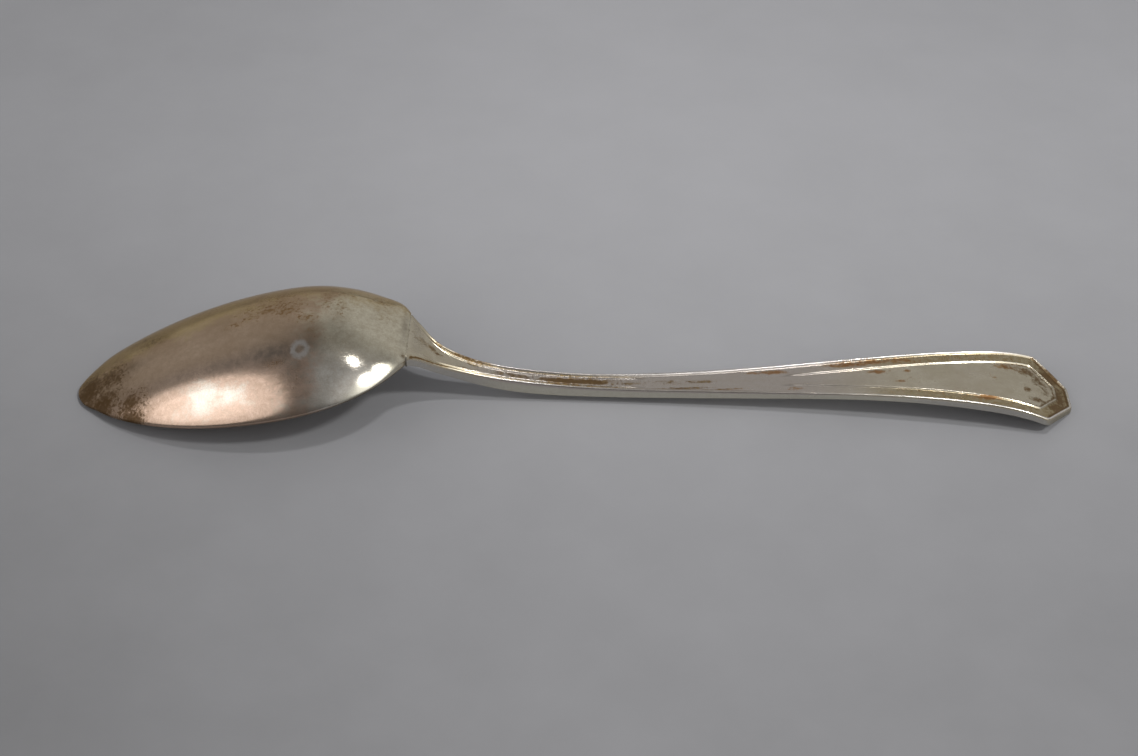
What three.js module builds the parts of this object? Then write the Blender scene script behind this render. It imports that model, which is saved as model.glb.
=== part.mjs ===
// A silver-plated serving spoon lying face down, in millimetres.
// +X runs from the bowl's tip to the handle's end and +Z is up, out of the back of the spoon.
import * as THREE from 'three';

// lengths along the spoon
const OVERALL_LENGTH = 210.2;
const BOWL_LENGTH = 70.8;
const SEAM_LENGTH = 0.3;

// bowl: a pointed oval, deepest a little behind its widest place
const BOWL_WIDTH = 41.8;
const BOWL_DEPTH = 12.5;
const BOWL_WALL = 1.3;
const RIM_EDGE = 1.0;
const RIM_SLOPE = 0.207;
const TIP_WEAR = 0.15;
const WIDEST_SHARE = 0.602;
const DEEPEST_SHARE = 0.658;
const HEEL_OVAL_SHARE = 1.075;
const HOLLOW_END_SHARE = 0.965;
const HEEL_START_SHARE = 0.9;
const TIP_OVAL_POWER = 1.9;
const TIP_OVAL_ROOT = 0.58;
const HEEL_OVAL_POWER = 2.2;
const SECTION_ROOT = 0.85;
const LEAST_HOLLOW_SHARE = 0.4;

// handle: a fan at the heel, a slim stem and a flat end with two cut corners
const STEM_WIDTH = 4.66;
const END_WIDTH = 21;
const END_FACE_WIDTH = 6.1;
const CORNER_CUT = 6.4;
const HANDLE_THICKNESS = 3.0;
const FAN_RUN = 4.4;
const WAIST_SHARE = 0.195;
const FLARE_POWER = 1.73;
const KNEE = 0.83;

// heel: its shoulders are rounded down to a thin edge, and the rounding dies away along the fan
const JOINT_EDGE = 1.3;
const HEEL_FADE = 2.6;
const SHOULDER_POWER = 6;

// underside of the handle: share of its length, share of the heel's height above the table
const UNDERSIDE_SHARE = [
  [0, 1], [0.036, 0.655], [0.065, 0.488], [0.108, 0.315], [0.173, 0.178], [0.26, 0.132],
  [0.39, 0.163], [0.57, 0.279], [0.75, 0.378], [0.858, 0.347], [0.93, 0.248], [1, 0],
];

// thickness of the handle's edge: share of its length, share of the stem's thickness
const THICKNESS_SHARE = [
  [0, 0.8], [0.05, 0.79], [0.12, 0.96], [0.173, 1], [0.26, 0.86], [0.45, 0.67],
  [0.57, 0.575], [0.7, 0.53], [0.8, 0.61], [0.9, 0.665], [1, 0.533],
];

// struck border: a rim thread at the edge, a channel, an inner thread and a plain panel
const BORDER_RELIEF = 0.45;
const THREAD_HEIGHT = 0.3;
const FRONT_RELIEF_SHARE = 0.6;
const EDGE_ROUND = 0.15;
const BORDER_FADE_IN = 8;
const STEM_THREADS_END_SHARE = [0.3, 0.37];
const END_THREADS_START_SHARE = [0.55, 0.61];
const STEM_BORDER_SHARE = { crest: 0.15, foot: 0.32, thread: 0.56, threadHalf: 0.13 };
const MIDDLE_SLOPE_RUN = 0.85;
const STEM_SLOPE_SHARE = [0.2, 0.37];
const END_SLOPE_SHARE = [0.45, 0.66];
const FOOT_LIMIT_SHARE = 0.96;
const END_BORDER_SHARE = { crest: 0.033, foot: 0.078, thread: 0.314, threadHalf: 0.036 };

// fineness of the facets
const BOWL_STATIONS = 46;
const BOWL_POINTS = 25;
const SEAM_POINTS = 13;
const HANDLE_STATIONS = 66;
const CORNER_STATIONS = 5;
const STATION_POWER = 1.3;
const SLOPE_STEP = 0.01;

// filler line between bowl and handle stands a little below both
const SEAM_INSET = 0.12;

// tied values
const HANDLE_LENGTH = OVERALL_LENGTH - BOWL_LENGTH;
const HANDLE_START = BOWL_LENGTH + SEAM_LENGTH;
const HEEL_HEIGHT = RIM_SLOPE * BOWL_LENGTH;
const JOINT_THICKNESS = HANDLE_THICKNESS * THICKNESS_SHARE[0][1];
const WIDEST_AT = WIDEST_SHARE * BOWL_LENGTH;
const DEEPEST_AT = DEEPEST_SHARE * BOWL_LENGTH;
const HOLLOW_END = HOLLOW_END_SHARE * BOWL_LENGTH;
const HEEL_START = HEEL_START_SHARE * BOWL_LENGTH;
const HEEL_OVAL = HEEL_OVAL_SHARE * (BOWL_LENGTH - WIDEST_AT);
const WAIST_AT = BOWL_LENGTH + WAIST_SHARE * HANDLE_LENGTH;
const SHOULDER_AT = OVERALL_LENGTH - CORNER_CUT;
const STEM_HALF = STEM_WIDTH / 2;
const END_HALF = END_WIDTH / 2;
const END_FACE_HALF = END_FACE_WIDTH / 2;

const mix = (a, b, t) => a + (b - a) * t;

function ease(from, to, x) {
  const t = Math.min(1, Math.max(0, (x - from) / (to - from)));
  return t * t * (3 - 2 * t);
}

// smooth curve through a few points, carried on as a straight line before the first
function curveThrough(points) {
  const last = points.length - 1;
  const x = points.map((p) => p[0]);
  const y = points.map((p) => p[1]);
  const bend = new Array(last + 1).fill(0);
  const load = new Array(last + 1).fill(0);
  for (let i = 1; i < last; i += 1) {
    const span = x[i + 1] - x[i - 1];
    const ratio = (x[i] - x[i - 1]) / span;
    const pivot = ratio * bend[i - 1] + 2;
    const turn = (y[i + 1] - y[i]) / (x[i + 1] - x[i]) - (y[i] - y[i - 1]) / (x[i] - x[i - 1]);
    bend[i] = (ratio - 1) / pivot;
    load[i] = ((6 * turn) / span - ratio * load[i - 1]) / pivot;
  }
  for (let i = last - 1; i > 0; i -= 1) bend[i] = bend[i] * bend[i + 1] + load[i];
  const startSlope = (y[1] - y[0]) / (x[1] - x[0]) - (bend[1] * (x[1] - x[0])) / 6;
  return (at) => {
    if (at < x[0]) return y[0] + startSlope * (at - x[0]);
    let i = 0;
    while (i < last - 1 && at > x[i + 1]) i += 1;
    const step = x[i + 1] - x[i];
    const a = (x[i + 1] - at) / step;
    const b = 1 - a;
    const sag = ((a ** 3 - a) * bend[i] + (b ** 3 - b) * bend[i + 1]) * (step * step) / 6;
    return a * y[i] + b * y[i + 1] + sag;
  };
}

const alongHandle = ([share, value], scale) => [BOWL_LENGTH + share * HANDLE_LENGTH, value * scale];
const neckLine = curveThrough(UNDERSIDE_SHARE.map((row) => alongHandle(row, HEEL_HEIGHT)));
const edgeThickness = curveThrough(THICKNESS_SHARE.map((row) => alongHandle(row, HANDLE_THICKNESS)));

// lower edge of the whole spoon: the straight rim meets the falling neck in a small knee
function underside(x) {
  const rim = RIM_SLOPE * x;
  const neck = neckLine(x);
  return (rim + neck) / 2 - Math.hypot((rim - neck) / 2, KNEE);
}

// outline of an oval that starts at the given tip and is inset by the given wall
function ovalHalf(x, tip, inset) {
  const full = BOWL_WIDTH / 2 - inset;
  if (x < WIDEST_AT) {
    const share = (WIDEST_AT - x) / (WIDEST_AT - tip);
    return full * Math.max(0, 1 - share ** TIP_OVAL_POWER) ** TIP_OVAL_ROOT;
  }
  const share = (x - WIDEST_AT) / (HEEL_OVAL - inset);
  return full * Math.sqrt(Math.max(0, 1 - share ** HEEL_OVAL_POWER));
}

const bowlHalf = (x) => ovalHalf(x, -TIP_WEAR, 0);
const JOINT_HALF = bowlHalf(BOWL_LENGTH);

// height along the bowl's middle line, falling off as two parabolas from the deepest place
function crownHeight(x, top, start, startHeight, end, endHeight) {
  const low = x < DEEPEST_AT ? startHeight : endHeight;
  const reach = x < DEEPEST_AT ? DEEPEST_AT - start : end - DEEPEST_AT;
  const share = Math.abs(x - DEEPEST_AT) / reach;
  return low + (top - low) * Math.max(0, 1 - share * share);
}

const backHeight = (x) => crownHeight(x, BOWL_DEPTH, 0, RIM_EDGE, BOWL_LENGTH, JOINT_THICKNESS);
const hollowHeight = (x) => crownHeight(x, BOWL_DEPTH - BOWL_WALL, BOWL_WALL, 0, HOLLOW_END, 0);

// rounded shoulder of the heel: its height above the edge, and its fall at a share of the half width
const SHOULDER_HEIGHT = JOINT_THICKNESS - JOINT_EDGE;
const roundOff = (share) => 1 - Math.sqrt(1 - Math.min(1, Math.abs(share)) ** SHOULDER_POWER);

// one ring of the bowl: the back from -Y to +Y, then the rim and the hollow on the way back
function bowlRing(x) {
  const half = bowlHalf(x);
  const inner = Math.max(ovalHalf(x, BOWL_WALL, BOWL_WALL), LEAST_HOLLOW_SHARE * half);
  const base = underside(x);
  const heeling = ease(HEEL_START, BOWL_LENGTH, x);
  const edge = mix(RIM_EDGE, JOINT_EDGE, heeling);
  const shoulder = SHOULDER_HEIGHT * heeling;
  const dome = Math.max(0, backHeight(x) - edge - shoulder);
  const hollow = hollowHeight(x);
  const ring = [];
  for (let j = 0; j < BOWL_POINTS; j += 1) {
    const across = Math.sin((Math.PI / 2) * (2 * j / (BOWL_POINTS - 1) - 1));
    const rise = Math.max(0, 1 - across * across) ** SECTION_ROOT;
    ring.push([x, half * across, base + edge + shoulder * (1 - roundOff(across)) + dome * rise]);
  }
  ring.push([x, half, base]);
  for (let j = 0; j < BOWL_POINTS - 2; j += 1) {
    const across = Math.sin((Math.PI / 2) * (1 - 2 * j / (BOWL_POINTS - 3)));
    const rise = Math.max(0, 1 - across * across) ** SECTION_ROOT;
    ring.push([x, inner * across, base + hollow * rise]);
  }
  ring.push([x, -half, base]);
  return ring;
}

// half the handle's width: the fan dying away into the stem and the stem flaring to the end
function handleHalf(x) {
  const fan = (JOINT_HALF - STEM_HALF) * Math.exp((BOWL_LENGTH - x) / FAN_RUN);
  const reach = Math.max(0, (x - WAIST_AT) / (SHOULDER_AT - WAIST_AT));
  return STEM_HALF + fan + (END_HALF - STEM_HALF) * reach ** FLARE_POWER;
}

const handleSlope = (x) => (handleHalf(x + SLOPE_STEP) - handleHalf(x - SLOPE_STEP)) / (2 * SLOPE_STEP);
const handleShare = (x) => (x - BOWL_LENGTH) / HANDLE_LENGTH;

// distances of the border's lines from the edge, from the outside in
function borderLines(x) {
  const t = ease(STEM_THREADS_END_SHARE[0], END_THREADS_START_SHARE[1], handleShare(x));
  const line = (name) => mix(STEM_BORDER_SHARE[name] * STEM_HALF, END_BORDER_SHARE[name] * END_HALF, t);
  const thread = line('thread');
  const spread = line('threadHalf');
  // in the middle the crest runs down to the panel in one longer slope
  const plain = ease(...STEM_SLOPE_SHARE, handleShare(x)) * (1 - ease(...END_SLOPE_SHARE, handleShare(x)));
  const slope = mix(line('foot'), line('crest') + MIDDLE_SLOPE_RUN, plain);
  const foot = Math.min(slope, FOOT_LIMIT_SHARE * (thread - spread));
  return [0, line('crest'), foot, thread - spread, thread, thread + spread];
}

// heights of those lines below the rim thread
function borderDrops(x) {
  const share = handleShare(x);
  const strength = ease(HANDLE_START, HANDLE_START + BORDER_FADE_IN, x);
  const floor = BORDER_RELIEF * strength;
  const stemThread = 1 - ease(STEM_THREADS_END_SHARE[0], STEM_THREADS_END_SHARE[1], share);
  const endThread = ease(END_THREADS_START_SHARE[0], END_THREADS_START_SHARE[1], share);
  const thread = floor - THREAD_HEIGHT * strength * Math.max(stemThread, endThread);
  return [EDGE_ROUND * strength, 0, floor, floor, thread, floor];
}

// fall of the rounded heel below a flat bar
function heelFall(x, y) {
  const fading = 1 - ease(HANDLE_START, HANDLE_START + HEEL_FADE, x);
  return SHOULDER_HEIGHT * fading * roundOff(y / handleHalf(x));
}

// plan of the end: where each border line turns at the shoulder and at the end face
const shoulderTurn = Math.atan(handleSlope(SHOULDER_AT));
const cutTurn = Math.atan2(END_HALF - END_FACE_HALF, CORNER_CUT);
const shoulderBend = Math.tan((shoulderTurn + cutTurn) / 2);
const SHOULDER_PULL = shoulderBend * Math.cos(shoulderTurn) - Math.sin(shoulderTurn);
const END_PULL = Math.tan((Math.PI / 2 - cutTurn) / 2);

// plan position of one border line at one station, on the +Y side
function borderPoint(line, station) {
  const end = borderLines(OVERALL_LENGTH)[line];
  const turn = SHOULDER_AT - end * SHOULDER_PULL;
  const onSide = (t) => {
    const x = mix(HANDLE_START, turn, t ** STATION_POWER);
    const slant = Math.hypot(1, handleSlope(x));
    return [x, handleHalf(x) - borderLines(x)[line] * slant];
  };
  if (station <= HANDLE_STATIONS) return onSide(station / HANDLE_STATIONS);
  const [x, y] = onSide(1);
  const t = (station - HANDLE_STATIONS) / CORNER_STATIONS;
  return [mix(x, OVERALL_LENGTH - end, t), mix(y, END_FACE_HALF - end * END_PULL, t)];
}

// one ring of the handle: the back from -Y to +Y, then the front on the way back
function handleRing(station) {
  const back = [];
  const front = [];
  for (let line = 0; line < BORDER_LINES; line += 1) {
    const [x, y] = borderPoint(line, station);
    const drop = borderDrops(x)[line];
    const frontDrop = line === 0 ? 0 : drop * FRONT_RELIEF_SHARE;
    back.push([x, y, underside(x) + edgeThickness(x) - drop - heelFall(x, y)]);
    front.push([x, y, underside(x) + frontDrop]);
  }
  const mirrored = (points) => points.map(([x, y, z]) => [x, -y, z]);
  return [...mirrored(back), ...[...back].reverse(), ...front, ...mirrored(front).reverse()];
}

const BORDER_LINES = borderLines(OVERALL_LENGTH).length;

// skin over a row of rings, each ring running clockwise as seen from +X
function skin(rings) {
  const count = rings[0].length;
  const points = rings.flat();
  const faces = [];
  const quad = (a, b, c, d) => faces.push([a, b, c], [a, c, d]);
  for (let i = 0; i < rings.length - 1; i += 1) {
    for (let j = 0; j < count; j += 1) {
      const next = (j + 1) % count;
      quad(i * count + j, (i + 1) * count + j, (i + 1) * count + next, i * count + next);
    }
  }
  return { points, faces, quad, count, lastRing: (rings.length - 1) * count };
}

// flat face over the first ring or, turned round, over the last
function closeAcross(body, first, atStart) {
  for (let j = 0; j < body.count / 2 - 1; j += 1) {
    const corners = [j, j + 1, body.count - 2 - j, body.count - 1 - j].map((k) => first + k);
    if (!atStart) corners.reverse();
    body.quad(...corners);
  }
}

function makeMesh(name, body, color, roughness) {
  const centred = body.points.map(([x, y, z]) => [x - OVERALL_LENGTH / 2, y, z - LOWEST]);
  const geometry = new THREE.BufferGeometry();
  geometry.setAttribute('position', new THREE.Float32BufferAttribute(centred.flat(), 3));
  geometry.setIndex(body.faces.flat());
  geometry.computeVertexNormals();
  const mesh = new THREE.Mesh(geometry, new THREE.MeshStandardMaterial({ color, roughness, metalness: 1 }));
  mesh.name = name;
  return mesh;
}

// the table touches the tip of the bowl and the handle's end
const LOWEST = Math.min(underside(0), underside(OVERALL_LENGTH));

function makeBowl() {
  const rings = [];
  for (let i = 0; i <= BOWL_STATIONS; i += 1) {
    rings.push(bowlRing((BOWL_LENGTH * (1 - Math.cos((Math.PI * i) / BOWL_STATIONS))) / 2));
  }
  const body = skin(rings);
  closeAcross(body, 0, true);
  closeAcross(body, body.lastRing, false);
  return makeMesh('bowl', body, 0xb3a594, 0.36);
}

function makeSeam() {
  const ringAt = (x, half) => {
    const back = [];
    for (let j = 0; j < SEAM_POINTS; j += 1) {
      const share = Math.sin((Math.PI / 2) * (2 * j / (SEAM_POINTS - 1) - 1));
      const high = JOINT_THICKNESS - SHOULDER_HEIGHT * roundOff(share) - SEAM_INSET;
      back.push([x, share * (half - SEAM_INSET), underside(x) + high]);
    }
    const front = back.map(([, y]) => [x, y, underside(x) + SEAM_INSET]);
    return [...back, ...front.reverse()];
  };
  const body = skin([ringAt(BOWL_LENGTH, JOINT_HALF), ringAt(HANDLE_START, handleHalf(HANDLE_START))]);
  closeAcross(body, 0, true);
  closeAcross(body, body.lastRing, false);
  return makeMesh('brazed_seam', body, 0x6b5a42, 0.6);
}

function makeHandle() {
  const rings = [];
  for (let i = 0; i <= HANDLE_STATIONS + CORNER_STATIONS; i += 1) rings.push(handleRing(i));
  const body = skin(rings);
  closeAcross(body, 0, true);
  const at = (k) => body.lastRing + k;
  const half = body.count / 2;
  for (let line = 0; line < BORDER_LINES - 1; line += 1) {
    body.quad(at(line), at(half - 1 - line), at(half - 2 - line), at(line + 1));
    body.quad(at(body.count - 1 - line), at(body.count - 2 - line), at(half + line + 1), at(half + line));
  }
  body.quad(at(0), at(body.count - 1), at(half), at(half - 1));
  return makeMesh('handle', body, 0xc2b9a0, 0.32);
}

const spoon = new THREE.Group();
spoon.name = 'serving_spoon';
spoon.add(makeBowl(), makeSeam(), makeHandle());

export default spoon;
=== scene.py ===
"""A silver-plated serving spoon that lies face down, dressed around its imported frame."""
import math

import bmesh
import bpy
import numpy as np
from mathutils import Matrix, Vector


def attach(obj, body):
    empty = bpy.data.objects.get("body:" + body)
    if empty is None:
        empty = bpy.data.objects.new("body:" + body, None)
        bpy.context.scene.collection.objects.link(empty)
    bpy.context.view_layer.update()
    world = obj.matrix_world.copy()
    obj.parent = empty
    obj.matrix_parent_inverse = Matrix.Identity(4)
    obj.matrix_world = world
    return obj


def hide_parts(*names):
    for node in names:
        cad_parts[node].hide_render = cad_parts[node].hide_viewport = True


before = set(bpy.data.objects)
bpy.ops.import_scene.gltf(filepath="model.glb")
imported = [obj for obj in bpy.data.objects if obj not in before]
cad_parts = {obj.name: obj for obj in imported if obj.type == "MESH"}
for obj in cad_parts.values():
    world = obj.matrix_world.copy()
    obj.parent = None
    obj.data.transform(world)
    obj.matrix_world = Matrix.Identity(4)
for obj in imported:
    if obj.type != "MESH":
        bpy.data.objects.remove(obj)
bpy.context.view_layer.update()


# Bowl: a pointed oval struck from nickel silver sheet, silver plated and browned by tarnish.
# Its back is a smooth dome, its rim is ground to a narrow land, and its flat heel face is
# brazed to the handle.
MM = 0.001
OVERALL_LENGTH = 210.2 * MM
BOWL_LENGTH = 70.8 * MM
RIM_SLOPE = 0.207
KNEE = 0.83 * MM
HEEL_HEIGHT = RIM_SLOPE * BOWL_LENGTH
HANDLE_LENGTH = OVERALL_LENGTH - BOWL_LENGTH
JOINT_THICKNESS = 2.4 * MM
JOINT_EDGE = 1.3 * MM
VALLEY_ROUND = 1.0 * MM
BOWL_HALF_WIDTH = 20.9 * MM
HEEL_OVAL_POWER = 2.2
HEEL_OVAL_SHARE = 1.075

# underside of the handle: share of its length, share of the heel's height above the table
UNDERSIDE_SHARE = [
    (0, 1), (0.036, 0.655), (0.065, 0.488), (0.108, 0.315), (0.173, 0.178), (0.26, 0.132),
    (0.39, 0.163), (0.57, 0.279), (0.75, 0.378), (0.858, 0.347), (0.93, 0.248), (1, 0),
]


def curve_through(points):
    """Natural cubic curve through a few points, carried on as a straight line before the first."""
    x, y = (np.array(column, float) for column in zip(*points))
    step = np.diff(x)
    slope = np.diff(y) / step
    system = np.eye(len(x))
    load = np.zeros(len(x))
    for i in range(1, len(x) - 1):
        system[i, i - 1:i + 2] = step[i - 1], 2 * (step[i - 1] + step[i]), step[i]
        load[i] = 6 * (slope[i] - slope[i - 1])
    bend = np.linalg.solve(system, load)
    start_slope = slope[0] - bend[1] * step[0] / 6

    def at(place):
        place = np.asarray(place, float)
        i = np.clip(np.searchsorted(x, place) - 1, 0, len(x) - 2)
        a = (x[i + 1] - place) / step[i]
        b = 1 - a
        sag = ((a ** 3 - a) * bend[i] + (b ** 3 - b) * bend[i + 1]) * step[i] ** 2 / 6
        inside = a * y[i] + b * y[i + 1] + sag
        return np.where(place < x[0], y[0] + start_slope * (place - x[0]), inside)

    return at, start_slope


def along_handle(shares, unit):
    """Points of a curve along the handle from shares of its length and of another size."""
    return [(BOWL_LENGTH + share * HANDLE_LENGTH, value * unit) for share, value in shares]


neck_line, NECK_SLOPE = curve_through(along_handle(UNDERSIDE_SHARE, HEEL_HEIGHT))


def underside(x):
    """Lower edge of the whole spoon: the straight rim meets the falling neck in a small knee."""
    rim = RIM_SLOPE * np.asarray(x, float)
    neck = neck_line(x)
    return (rim + neck) / 2 - np.hypot((rim - neck) / 2, KNEE)


LOWEST = float(min(underside(0), underside(OVERALL_LENGTH)))

BOWL_DEPTH = 12.5 * MM
RIM_EDGE = 0.8 * MM
WIDEST_AT = 0.602 * BOWL_LENGTH
DEEPEST_AT = 0.658 * BOWL_LENGTH

BOWL_SIZES = {
    "Length": BOWL_LENGTH,
    "Half Width": BOWL_HALF_WIDTH,
    "Depth": BOWL_DEPTH,
    "Wall": 1.3 * MM,
    "Rim Edge": RIM_EDGE,
    "Rim Slope": RIM_SLOPE,
    "Heel Height": HEEL_HEIGHT,
    "Neck Slope": float(NECK_SLOPE),
    "Knee": KNEE,
    "Tip Lean": 1.4 * MM,
    "Lean Run": 6 * MM,
    "Widest At": WIDEST_AT,
    "Deepest At": DEEPEST_AT,
    "Heel Oval": HEEL_OVAL_SHARE * (BOWL_LENGTH - WIDEST_AT),
    "Heel Start": 0.9 * BOWL_LENGTH,
    "Hollow End": 0.965 * BOWL_LENGTH,
    "Joint Thickness": JOINT_THICKNESS,
    "Joint Edge": JOINT_EDGE,
    "Valley Round": VALLEY_ROUND,
    "Lowest": LOWEST,
    "Middle": OVERALL_LENGTH / 2,
}
BOWL_STATIONS = 190
BOWL_COLUMNS = 121
MERGE_DISTANCE = 0.0005 * MM
TIP_OVAL_POWER = 1.9
TIP_OVAL_ROOT = 0.58
SECTION_POWER = 1.7
SHOULDER_POWER = 6
LEAST_HOLLOW_SHARE = 0.4
RIM_FROM = 0.8
RIM_ROUNDNESS = 0.5


class Field:
    """A number that varies over a surface: a socket of a node tree, used in plain arithmetic."""

    def __init__(self, tree, socket):
        self.tree = tree
        self.socket = socket

    def __add__(self, other):
        return reckon("ADD", self, other)

    __radd__ = __add__

    def __sub__(self, other):
        return reckon("SUBTRACT", self, other)

    def __rsub__(self, other):
        return reckon("SUBTRACT", other, self)

    def __mul__(self, other):
        return reckon("MULTIPLY", self, other)

    __rmul__ = __mul__

    def __truediv__(self, other):
        return reckon("DIVIDE", self, other)

    def __pow__(self, other):
        return reckon("POWER", self, other)


def feed(tree, value, socket):
    """Puts a number, a colour, a field or another node's socket into a socket."""
    if isinstance(value, Field):
        tree.links.new(value.socket, socket)
    elif isinstance(value, bpy.types.NodeSocket):
        tree.links.new(value, socket)
    else:
        socket.default_value = value


def reckon(operation, *terms):
    """One step of arithmetic between fields and plain numbers."""
    tree = next(term.tree for term in terms if isinstance(term, Field))
    made = tree.nodes.new("ShaderNodeMath")
    made.operation = operation
    for place, term in enumerate(terms):
        feed(tree, term, made.inputs[place])
    return Field(tree, made.outputs[0])


def place_node(tree, kind, values=None, **settings):
    """A node with its settings and its named inputs filled in."""
    made = tree.nodes.new(kind)
    for name, value in settings.items():
        setattr(made, name, value)
    for name, value in (values or {}).items():
        feed(tree, value, made.inputs[name])
    return made


def least(a, b):
    return reckon("MINIMUM", a, b)


def most(a, b):
    return reckon("MAXIMUM", a, b)


def slant(a, b):
    """Long side of a right-angled triangle."""
    return (a * a + b * b) ** 0.5


def ease(low, high, value):
    """Soft step from 0 at low to 1 at high."""
    t = least(most((value - low) / (high - low), 0), 1)
    return t * t * (3 - 2 * t)


def split(tree, vector):
    parts = place_node(tree, "ShaderNodeSeparateXYZ", {"Vector": vector})
    return [Field(tree, socket) for socket in parts.outputs]


def form_bowl():
    """Node tree for the bowl: one grid is bent to the back and once more to the rim and hollow."""
    tree = bpy.data.node_groups.new("bowl_form", "GeometryNodeTree")
    tree.interface.new_socket("Bowl", in_out="OUTPUT", socket_type="NodeSocketGeometry")
    tree.interface.new_socket("Plate", in_out="INPUT", socket_type="NodeSocketMaterial")
    for name in BOWL_SIZES:
        tree.interface.new_socket(name, in_out="INPUT", socket_type="NodeSocketFloat")
    given = tree.nodes.new("NodeGroupInput")
    size = {name: Field(tree, given.outputs[name]) for name in BOWL_SIZES}
    grid = place_node(tree, "GeometryNodeMeshGrid", {
        "Size X": 1, "Size Y": 1, "Vertices X": BOWL_COLUMNS, "Vertices Y": BOWL_STATIONS + 2})
    spot = tree.nodes.new("GeometryNodeInputPosition")
    column, row, _ = split(tree, spot.outputs[0])

    # stations bunch up at the tip and the heel, and one more row closes the heel face
    row = (row + 0.5) * (BOWL_STATIONS + 1)
    closing = most(row - BOWL_STATIONS, 0)
    turn = least(row / BOWL_STATIONS, 1) * math.pi
    x = size["Length"] * (1 - reckon("COSINE", turn)) / 2

    # plan: two half ovals that meet at the widest place
    before = most(size["Widest At"] - x, 0)
    past = most(x - size["Widest At"], 0)

    def oval(tip, inset):
        fore = most(1 - (before / (size["Widest At"] - tip)) ** TIP_OVAL_POWER, 0) ** TIP_OVAL_ROOT
        aft = most(1 - (past / (size["Heel Oval"] - inset)) ** HEEL_OVAL_POWER, 0) ** 0.5
        return (size["Half Width"] - inset) * fore * aft

    half = oval(0 * x, 0 * x)
    inner = most(oval(size["Wall"], size["Wall"]), half * LEAST_HOLLOW_SHARE)

    # heights: the rim's line over the table, the rim's edge, the dome of the back and the hollow
    rim = size["Rim Slope"] * x
    neck = size["Heel Height"] + size["Neck Slope"] * (x - size["Length"])
    apart = (rim - neck) / 2
    base = (rim + neck) / 2 - slant(apart, size["Knee"]) - size["Lowest"]
    heeling = ease(size["Heel Start"], size["Length"], x)
    edge = size["Rim Edge"] + (size["Joint Edge"] - size["Rim Edge"]) * heeling
    shoulder = (size["Joint Thickness"] - size["Joint Edge"]) * heeling
    to_tip = most(size["Deepest At"] - x, 0)
    to_heel = most(x - size["Deepest At"], 0)
    left = size["Length"] - x
    left = slant(left, size["Valley Round"]) - size["Valley Round"] * 0.5
    tip_share = to_tip / size["Deepest At"]
    heel_share = most(1 - left / (size["Length"] - size["Deepest At"]), 0)
    crown = size["Depth"] - (size["Depth"] - size["Rim Edge"]) * tip_share * tip_share
    crown = crown - (size["Depth"] - size["Joint Thickness"]) * heel_share * heel_share
    dome = most(crown - edge - shoulder, 0)
    tip_share = to_tip / (size["Deepest At"] - size["Wall"])
    heel_share = to_heel / (size["Hollow End"] - size["Deepest At"])
    hollow = (size["Depth"] - size["Wall"]) * most(
        1 - tip_share * tip_share - heel_share * heel_share, 0)

    # section of the back, and of the hollow with the rounded rim on both sides
    quarter = column * math.pi
    back_y = half * reckon("SINE", quarter)
    flank = most(1 - reckon("ABSOLUTE", reckon("SINE", quarter)) ** SHOULDER_POWER, 0) ** 0.5
    arch = most(reckon("COSINE", quarter), 0) ** SECTION_POWER
    back_z = base + edge + shoulder * flank + dome * arch
    inside = least(most(column * (2 / RIM_FROM), -1), 1) * (math.pi / 2)
    bend = most(reckon("ABSOLUTE", column * 2) - RIM_FROM, 0) * (math.pi / 2 / (1 - RIM_FROM))
    out = most(reckon("SINE", bend), 0) ** RIM_ROUNDNESS
    up = 1 - most(reckon("COSINE", bend), 0) ** RIM_ROUNDNESS
    front_y = inner * reckon("SINE", inside) + (half - inner) * out * reckon("SIGN", column)
    front_z = base + hollow * most(reckon("COSINE", inside), 0) ** SECTION_POWER + edge * up

    sheets = []
    back, front = (back_y, back_z), (front_y, front_z)
    for own, other in ((back, front), (front, back)):
        y, z = (mine + (its - mine) * closing * 0.5 for mine, its in zip(own, other))
        y = y - size["Tip Lean"] * (1 - ease(0, size["Lean Run"], x))
        target = place_node(tree, "ShaderNodeCombineXYZ", {"X": x - size["Middle"], "Y": y, "Z": z})
        sheet = place_node(tree, "GeometryNodeSetPosition", {
            "Geometry": grid.outputs["Mesh"], "Position": target.outputs[0]})
        sheets.append(sheet.outputs[0])
    turned = place_node(tree, "GeometryNodeFlipFaces", {"Mesh": sheets[1]})
    both = tree.nodes.new("GeometryNodeJoinGeometry")
    tree.links.new(sheets[0], both.inputs[0])
    tree.links.new(turned.outputs[0], both.inputs[0])
    closed = place_node(tree, "GeometryNodeMergeByDistance", {
        "Geometry": both.outputs[0], "Distance": MERGE_DISTANCE})
    real = place_node(tree, "GeometryNodeRealizeInstances", {"Geometry": closed.outputs[0]})
    plated = place_node(tree, "GeometryNodeSetMaterial", {
        "Geometry": real.outputs[0], "Material": given.outputs["Plate"]})
    finished = tree.nodes.new("NodeGroupOutput")
    tree.links.new(plated.outputs[0], finished.inputs[0])
    return tree


def start_material(name):
    """A new material, its Principled shader and its Object coordinates."""
    material = bpy.data.materials.new(name)
    material.use_nodes = True
    tree = material.node_tree
    shader = tree.nodes["Principled BSDF"]
    coordinates = tree.nodes.new("ShaderNodeTexCoord").outputs["Object"]
    return material, tree, shader, coordinates


def coat(tree, shader, **values):
    """Fills in the named inputs of a shader."""
    for name, value in values.items():
        feed(tree, value, shader.inputs[name.replace("_", " ")])


def blend(share, first, second):
    """Mixes two colours."""
    made = place_node(share.tree, "ShaderNodeMix", data_type="RGBA")
    for place, value in ((0, share), (6, first), (7, second)):
        feed(share.tree, value, made.inputs[place])
    return made.outputs[2]


def noise(tree, vector, scale, detail=2.0, roughness=0.5):
    made = place_node(tree, "ShaderNodeTexNoise", {
        "Vector": vector, "Scale": scale, "Detail": detail, "Roughness": roughness})
    return Field(tree, made.outputs[0])


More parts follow.
